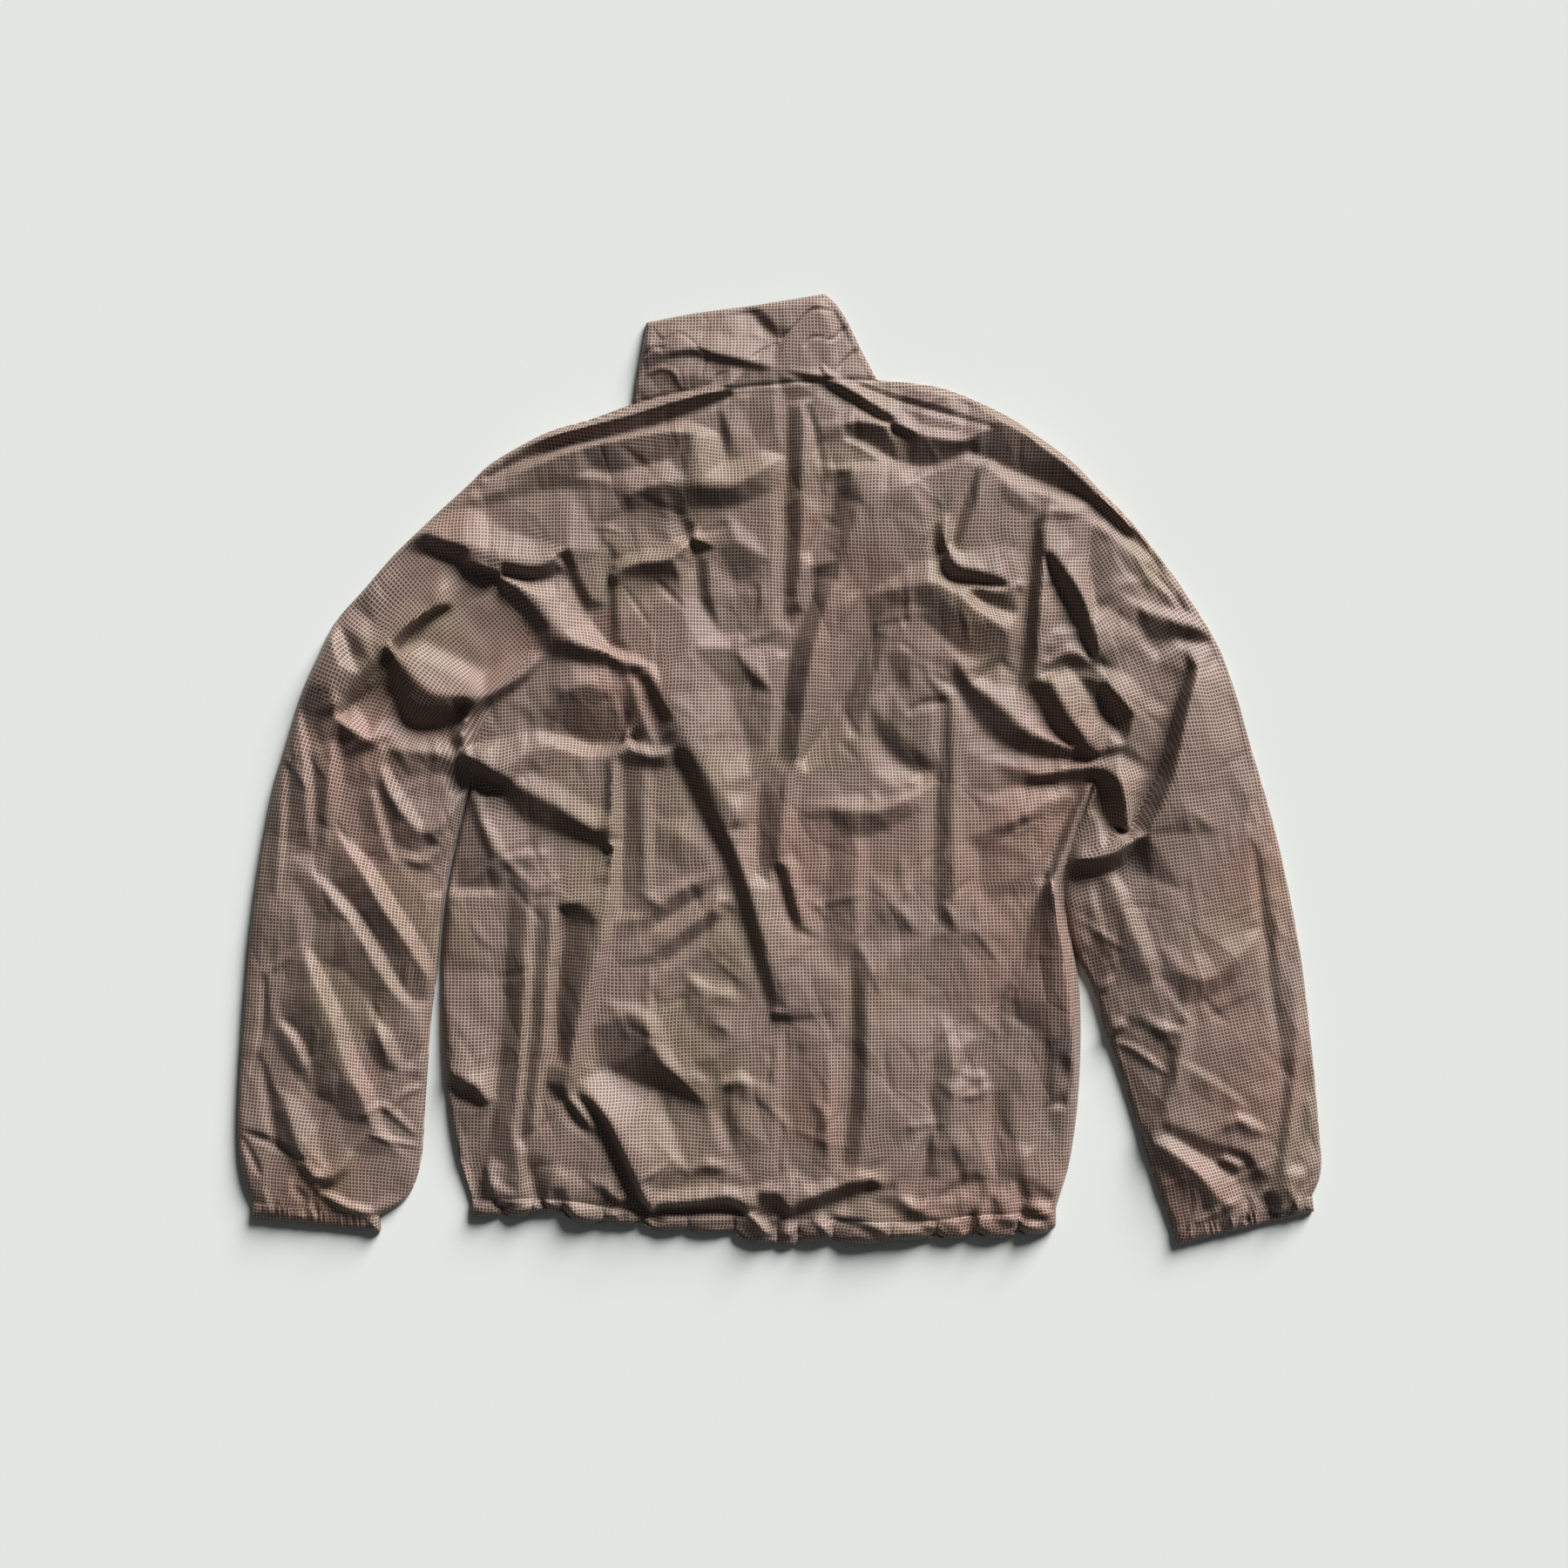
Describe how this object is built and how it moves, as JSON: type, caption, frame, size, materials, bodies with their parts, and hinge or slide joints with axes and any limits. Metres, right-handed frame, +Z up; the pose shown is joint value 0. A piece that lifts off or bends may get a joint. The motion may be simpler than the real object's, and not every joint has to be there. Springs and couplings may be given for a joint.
{
  "type": "windbreaker jacket",
  "caption": "Checked windbreaker laid flat, back up: stand collar, set-in sleeves, gathered cuffs and hem band, and a front zip whose pull tab swings.",
  "frame": {"origin": "under the middle of the jacket's bounding box, on the surface that it lies on", "axes": "+Z up out of the back panel, +Y towards the collar, +X towards the wearer's right sleeve"},
  "size_m": [0.8955, 0.7851, 0.0254],
  "materials": {
    "checked_cloth": "crisp light nylon in a fine cream and brown check, slight sheen",
    "zip_tape": "dark brown woven polyester tape",
    "zip_coil": "dark brown nylon coil",
    "zip_metal": "bronze coloured, satin"
  },
  "bodies": {
    "jacket": {"back": "checked_cloth", "front_left": "checked_cloth", "front_right": "checked_cloth", "sleeve_left": "checked_cloth", "sleeve_right": "checked_cloth", "collar": "checked_cloth", "hem_band": "checked_cloth", "cuff_left": "checked_cloth", "cuff_right": "checked_cloth", "zip_tape_left": "zip_tape", "zip_tape_right": "zip_tape", "zip_chain": "zip_coil", "zip_slider": "zip_metal", "zip_top_stop_left": "zip_metal", "zip_top_stop_right": "zip_metal", "zip_bottom_box": "zip_metal"},
    "pull_tab": {"zip_pull_tab": "zip_metal"}
  },
  "joints": [
    {"name": "pull_tab_hinge", "type": "hinge", "parent": "jacket", "child": "pull_tab", "pos_m": [-0.02208, 0.32923, 0.0022], "axis": [1, 0, 0], "range_deg": [0, 165]}
  ]
}
